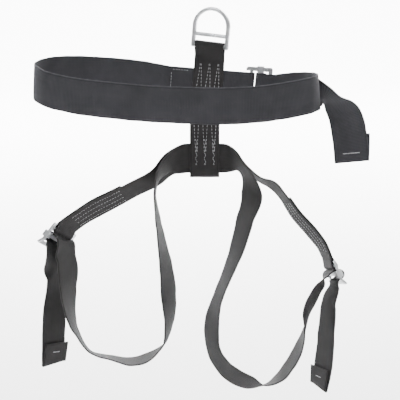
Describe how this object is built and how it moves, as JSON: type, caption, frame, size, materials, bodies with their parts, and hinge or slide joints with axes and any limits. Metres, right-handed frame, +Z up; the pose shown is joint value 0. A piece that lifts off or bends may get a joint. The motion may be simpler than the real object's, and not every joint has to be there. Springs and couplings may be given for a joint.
{
  "type": "tree climbing saddle",
  "caption": "Hanging tree climbing saddle of charcoal webbing: waist belt with friction buckle, sewn riser with a dee ring, and crossed leg straps with adjustable leg loops.",
  "frame": {"origin": "centre of the dee ring's eye, where the climbing line is tied", "axes": "+Z up along the hanging riser, +Y forwards away from the wearer's back, +X to the wearer's right"},
  "size_m": [0.4941, 0.1815, 0.5943],
  "materials": {
    "leg_webbing": "woven nylon",
    "belt_webbing": "ribbed woven nylon",
    "thread": "twisted thread",
    "ring_steel": "bright plated",
    "buckle_steel": "bright plated, stamped",
    "slide_bar_steel": "bright plated, grooved"
  },
  "bodies": {
    "webbing": {"riser": "leg_webbing", "waist_belt": "belt_webbing", "upper_leg_strap": "leg_webbing", "leg_loop_strap": "leg_webbing", "riser_upper_stitching": "thread", "riser_lower_stitching": "thread", "belt_lap_stitching": "thread", "left_lap_stitching": "thread", "right_lap_stitching": "thread", "waist_end_bar_tack": "thread", "left_end_bar_tack": "thread", "right_end_bar_tack": "thread"},
    "ring": {"dee_ring": "ring_steel"},
    "waist_frame": {"waist_buckle_frame": "buckle_steel"},
    "waist_bar": {"waist_slide_bar": "slide_bar_steel"},
    "left_leg_frame": {"left_leg_buckle_frame": "buckle_steel"},
    "left_leg_bar": {"left_leg_slide_bar": "slide_bar_steel"},
    "right_leg_frame": {"right_leg_buckle_frame": "buckle_steel"},
    "right_leg_bar": {"right_leg_slide_bar": "slide_bar_steel"}
  },
  "joints": [
    {"name": "dee_ring_swing", "type": "hinge", "parent": "webbing", "child": "ring", "pos_m": [-0.00232, 0.00075, -0.02789], "axis": [0.9474, -0.3078, -0.0872], "range_deg": [-90, 90]},
    {"name": "waist_buckle_tilt", "type": "hinge", "parent": "webbing", "child": "waist_frame", "pos_m": [0.0573, 0, -0.09268], "axis": [0.0797, 0, 0.9968], "range_deg": [-1.5, 4]},
    {"name": "waist_bar_slide", "type": "slide", "parent": "waist_frame", "child": "waist_bar", "axis": [0.9968, 0, -0.0797], "range_m": [-0.0006, 0.0015]},
    {"name": "left_leg_buckle_tilt", "type": "hinge", "parent": "webbing", "child": "left_leg_frame", "pos_m": [-0.224, -0.018, -0.307], "axis": [0.4206, 0.7518, -0.5078], "range_deg": [-1.5, 4]},
    {"name": "left_leg_bar_slide", "type": "slide", "parent": "left_leg_frame", "child": "left_leg_bar", "axis": [-0.6123, -0.1778, -0.7704], "range_m": [-0.0006, 0.0015]},
    {"name": "right_leg_buckle_tilt", "type": "hinge", "parent": "webbing", "child": "right_leg_frame", "pos_m": [0.182, -0.0165, -0.3595], "axis": [0.1708, -0.9434, 0.2842], "range_deg": [-1.5, 4]},
    {"name": "right_leg_bar_slide", "type": "slide", "parent": "right_leg_frame", "child": "right_leg_bar", "axis": [0.3612, -0.2084, -0.9089], "range_m": [-0.0006, 0.0015]}
  ]
}
